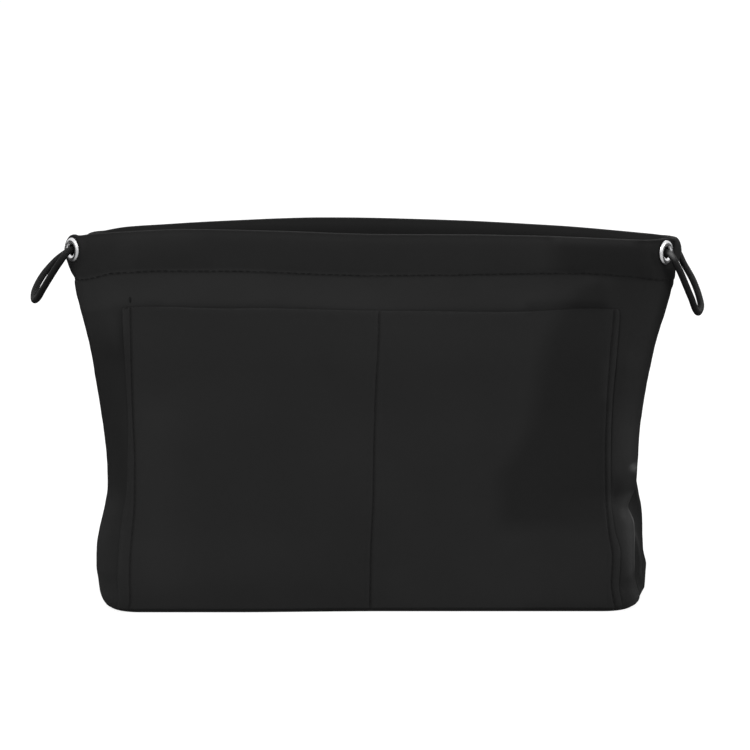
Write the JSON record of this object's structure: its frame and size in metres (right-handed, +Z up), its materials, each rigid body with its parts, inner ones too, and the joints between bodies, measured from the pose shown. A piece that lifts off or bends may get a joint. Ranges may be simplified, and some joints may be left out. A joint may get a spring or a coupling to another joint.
{
  "type": "organizer pouch insert",
  "caption": "Open-topped black cloth bag liner with a flat base, folding side gussets, a patch pocket and a drawcord that runs through the rim casings and eyelets.",
  "frame": {"origin": "middle of the base, on the surface that the pouch stands on", "axes": "+X to the right of someone who faces the pocket, along the length; -Y towards the pocket; +Z up"},
  "size_m": [0.3122, 0.1062, 0.172],
  "materials": {
    "nylon": "black satin-weave nylon, soft sheen",
    "lining": "black plain-weave lining, dull sheen",
    "board": "stiffener sheet, sewn in",
    "nickel": "bright nickel plate",
    "cord": "black braided polyester cord"
  },
  "bodies": {
    "pouch": {"front_panel": "nylon", "back_panel": "nylon", "left_gusset": "nylon", "right_gusset": "nylon", "base_panel": "nylon", "front_casing": "nylon", "back_casing": "nylon", "front_pocket": "nylon", "front_lining": "lining", "back_lining": "lining", "left_gusset_lining": "lining", "right_gusset_lining": "lining", "base_lining": "lining", "base_board": "board", "front_left_eyelet": "nickel", "front_right_eyelet": "nickel", "back_left_eyelet": "nickel", "back_right_eyelet": "nickel", "front_left_washer": "nickel", "front_right_washer": "nickel", "back_left_washer": "nickel", "back_right_washer": "nickel", "front_cord_run": "cord", "back_cord_run": "cord"},
    "left_tails": {"front_left_tail": "cord", "back_left_tail": "cord"},
    "left_loop": {"left_loop": "cord"},
    "right_tails": {"front_right_tail": "cord", "back_right_tail": "cord"},
    "right_loop": {"right_loop": "cord"}
  },
  "joints": [
    {"name": "left_pull", "type": "slide", "parent": "pouch", "child": "left_tails", "axis": [-1, 0, 0], "range_m": [0, 0.02], "deforming": ["front_left_tail", "back_left_tail"]},
    {"name": "left_swing", "type": "hinge", "parent": "left_tails", "child": "left_loop", "pos_m": [-0.1436, -0.02205, 0.1574], "axis": [0.0757, 0.9971, 0.0084], "range_deg": [-20, 110]},
    {"name": "right_pull", "type": "slide", "parent": "pouch", "child": "right_tails", "axis": [1, 0, 0], "range_m": [0, 0.02], "deforming": ["front_right_tail", "back_right_tail"]},
    {"name": "right_swing", "type": "hinge", "parent": "right_tails", "child": "right_loop", "pos_m": [0.137, -0.02215, 0.1555], "axis": [-0.1136, -0.9919, 0.0568], "range_deg": [-10, 120]}
  ]
}
